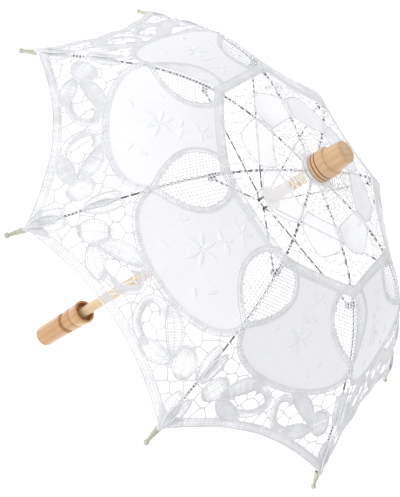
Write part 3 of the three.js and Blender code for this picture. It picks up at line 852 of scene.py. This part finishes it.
def make_tip(k):
    ball, mouth, wide, neck, socket = 2.3, 13.0, 2.5, 1.5, 6.0
    profile = [(0, -ball), *arc(0, 0, ball, -84, 46, 12), (neck, 2.2), (neck + 0.1, 3.2)]
    profile += [(wide - 0.08, mouth - 2.4), (wide, mouth - 1.6), (wide, mouth - 0.2)]
    profile += [(wide - 0.2, mouth), (wide - 0.45, mouth - 0.1), (wide - 0.6, mouth - 1.6)]
    profile += [(1.2, mouth - 2.2), (1.2, mouth - socket), (0, mouth - socket)]
    points, faces = lathe([(r * MM, z * MM) for r, z in profile], 24)
    end, back = along_rib(1.0), along_rib(1 - mouth / 250)
    lean = math.atan2(end[0] - back[0], back[1] - end[1])
    turn = Matrix.Rotation((k - 1) * STEP, 4, "Z")
    matrix = turn @ Matrix.Translation((end[0], 0, end[1])) @ Matrix.Rotation(-lean, 4, "Y")
    points = [tuple(matrix @ Vector(p)) for p in points]
    piece = add_piece(f"ball_tip_{k}", points, faces, IVORY, f"rib_{k}", 45)
    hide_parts(f"rib_tip_{k}")


def loop_tube(centres, radius, sides=6):
    """A closed ring of thread through centres."""
    centres = np.asarray(centres, float)
    n = len(centres)
    tangent = np.roll(centres, -1, 0) - np.roll(centres, 1, 0)
    tangent /= np.linalg.norm(tangent, axis=1)[:, None]
    axis = np.cross(tangent[0], tangent[n // 4])
    side = np.cross(tangent, axis / np.linalg.norm(axis))
    up = np.cross(side, tangent)
    angle = np.arange(sides) * 2 * math.pi / sides
    spoke = side[:, None] * np.cos(angle)[:, None] + up[:, None] * np.sin(angle)[:, None]
    points = (centres[:, None] + spoke * radius).reshape(-1, 3)
    faces = []
    for i in range(n):
        for j in range(sides):
            a, b = i * sides + j, i * sides + (j + 1) % sides
            c, d = (i + 1) % n * sides + j, (i + 1) % n * sides + (j + 1) % sides
            faces.append([a, b, d, c])
    return points, faces


def make_ties(k):
    """Thread loops that hold the cloth to the rib, and the binding at its end."""
    points, faces = [], []
    spots = [(s, 1.25, 2.75) for s in (0.34, 0.345, 0.36, 0.365, 0.375, 0.38, 0.595, 0.6)]
    for start, end, step in ((0.06, 0.33, 0.022), (0.405, 0.58, 0.02), (0.7, 0.87, 0.0105)):
        for s in np.arange(start, end, step):
            spots += [(s, 1.25, 1.3), (s + 0.0026, 1.25, 1.3)]
    for share in np.linspace(0, 1, 19):
        spots.append((0.877 + 0.068 * share, 1.35 + 0.7 * share, 2.7 - 0.4 * share))
    for s, wide, high in spots:
        matrix = rib_frame(k, s)
        ring = []
        for a in np.linspace(0, 2 * math.pi, 12, False):
            up = (high if math.sin(a) > 0 else wide) * math.sin(a)
            across = wide * math.cos(a)
            ring.append(matrix @ Vector((0.3 * across * MM, across * MM, up * MM)))
        p, f = loop_tube([tuple(v) for v in ring], 0.32 * MM)
        faces += [[v + sum(len(q) for q in points) for v in face] for face in f]
        points.append(p)
    return add_piece(f"ties_{k}", np.vstack(points), faces, COTTON, f"rib_{k}")


def fold(piece):
    """Gives the cloth piece a mesh of its own."""
    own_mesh(piece)


def make_cloth():
    """Lace, embroidery and linen, in two halves for each gore."""
    for k in range(1, RIBS + 1):
        lace = design(k)
        laid = lace.laid(lace.threads)
        sewn = lace.laid(lace.stitches)
        sheets = linen_sheets(k)
        for n, letter in enumerate("ab"):
            # the half at the left of the middle line goes with rib k, the other with the next
            rib = k if n == 0 else k % RIBS + 1
            points, faces = laid[n]
            threads = add_piece(
                f"lace_{k}{letter}", points, faces, COTTON, f"rib_{rib}"
            )
            points, faces = sewn[n]
            floss = add_piece(
                f"embroidery_{k}{letter}", points, faces, FLOSS, f"rib_{rib}"
            )
            points, faces, flat, area = sheets[n]
            linen = add_piece(f"linen_{k}{letter}", points, faces, LINEN, f"rib_{rib}", 50)
            uv = linen.data.uv_layers.new(name="cloth")
            loops = np.zeros(len(linen.data.loops), np.int32)
            linen.data.loops.foreach_get("vertex_index", loops)
            uv.data.foreach_set("uv", flat[loops].astype(np.float32).ravel())
            for piece in (threads, floss, linen):
                fold(piece)
            if n == 0:
                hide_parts(f"canopy_{rib}")


def make_crown_cloth():
    """The gathered middle of the canopy, pinched under the ferrule."""
    sides, points, rows = 96, [], []
    profile = [(5.4, 2.95), (9.0, 2.95), (11.6, 2.92), (12.9, 2.9), (13.2, 3.15), (12.9, 3.45),
               (11.6, 3.46), (9.0, 3.45), (5.4, 3.45)]
    for r, z in profile:
        rows.append(range(len(points), len(points) + sides))
        for i in range(sides):
            a = 2 * math.pi * i / sides
            ruffle = 0.16 * math.sin(32 * a) * max(0, r - 11.8)
            points.append(((r + ruffle) * MM * math.cos(a), (r + ruffle) * MM * math.sin(a),
                           (z + 0.25 * ruffle) * MM + CROWN))
    faces = []
    for low, high in zip(rows, rows[1:] + rows[:1]):
        for i in range(sides):
            j = (i + 1) % sides
            faces.append([low[i], low[j], high[j], high[i]])
    piece = add_piece("crown_cloth", points, faces, LINEN, "frame")
    uv = piece.data.uv_layers.new(name="cloth")
    loops = np.zeros(len(piece.data.loops), np.int32)
    piece.data.loops.foreach_get("vertex_index", loops)
    uv.data.foreach_set("uv", np.asarray(points)[loops][:, :2].astype(np.float32).ravel())
    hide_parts("canopy_crown")


make_handle()
make_ferrule()
make_crown_cloth()
make_cloth()
for rib in range(1, RIBS + 1):
    make_tip(rib)
    make_ties(rib)

LOOKS = {
    "shaft": SHAFT_WOOD, "crown_ring": WHITE_PLASTIC, "runner": WHITE_PLASTIC,
    "crown_wire": STEEL, "runner_wire": STEEL, "stop_pin": STEEL, "top_spring": BRIGHT_STEEL,
    "rib": STEEL, "joint_clip": BRIGHT_STEEL, "joint_rivet": STEEL, "stretcher": STEEL,
}
for name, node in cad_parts.items():
    kind = name if name in LOOKS else name.rsplit("_", 1)[0]
    if kind in LOOKS:
        node.data.materials.clear()
        node.data.materials.append(LOOKS[kind])
        node.data.polygons.foreach_set("use_smooth", np.ones(len(node.data.polygons), bool))
        node.data.set_sharp_from_angle(angle=math.radians(38))


# ---- Floor, light and camera ----
def make_stage():
    bpy.ops.mesh.primitive_plane_add(size=12, location=(0, 0, -21.2 * MM))
    floor = bpy.context.object
    floor.name = "floor"
    look = Look("pale_floor", (0.97, 0.97, 0.97), roughness=0.95)
    look.shader.inputs["Emission Color"].default_value = (1, 1, 1, 1)
    look.shader.inputs["Emission Strength"].default_value = 0.8
    floor.data.materials.append(look.material)
    world = bpy.data.worlds.new("studio")
    bpy.context.scene.world = world
    world.use_nodes = True
    world.node_tree.nodes["Background"].inputs["Color"].default_value = (1, 1, 1, 1)
    world.node_tree.nodes["Background"].inputs["Strength"].default_value = 0.7
    for name, azimuth, elevation, distance, size, power in (
        ("key", 68, 38, 1.5, 0.9, 7), ("fill", 250, 30, 1.8, 1.4, 6),
    ):
        light = bpy.data.lights.new(name, "AREA")
        light.size = size
        light.energy = power
        lamp = bpy.data.objects.new(name, light)
        bpy.context.scene.collection.objects.link(lamp)
        a, e = math.radians(azimuth), math.radians(elevation)
        way = Vector((math.cos(a) * math.cos(e), math.sin(a) * math.cos(e), math.sin(e)))
        lamp.location = Vector((0, 0, 0.25)) + way * distance
        lamp.rotation_mode = "QUATERNION"
        lamp.rotation_quaternion = way.to_track_quat("Z", "Y")


def make_camera():
    """The photo's place: the parasol's axis leans to the right and towards the camera."""
    right = Vector((-0.31194, -0.7025, 0.63968))
    down = Vector((-0.90549, 0.01592, -0.42407))
    ahead = Vector((0.28773, -0.71151, -0.64107))
    camera = bpy.data.cameras.new("camera")
    camera.sensor_width = 36
    camera.lens = 65.92
    camera.shift_x = 0.1007
    camera.shift_y = -0.0454
    camera.clip_start, camera.clip_end = 0.05, 50
    seen = bpy.data.objects.new("camera", camera)
    bpy.context.scene.collection.objects.link(seen)
    rows = Matrix((right, -down, -ahead)).transposed().to_4x4()
    seen.matrix_world = Matrix.Translation((-0.2025, 0.5937, 0.7049)) @ rows
    bpy.context.scene.camera = seen


make_stage()
make_camera()
bpy.context.scene.view_settings.view_transform = "Standard"

bpy.context.view_layer.update()
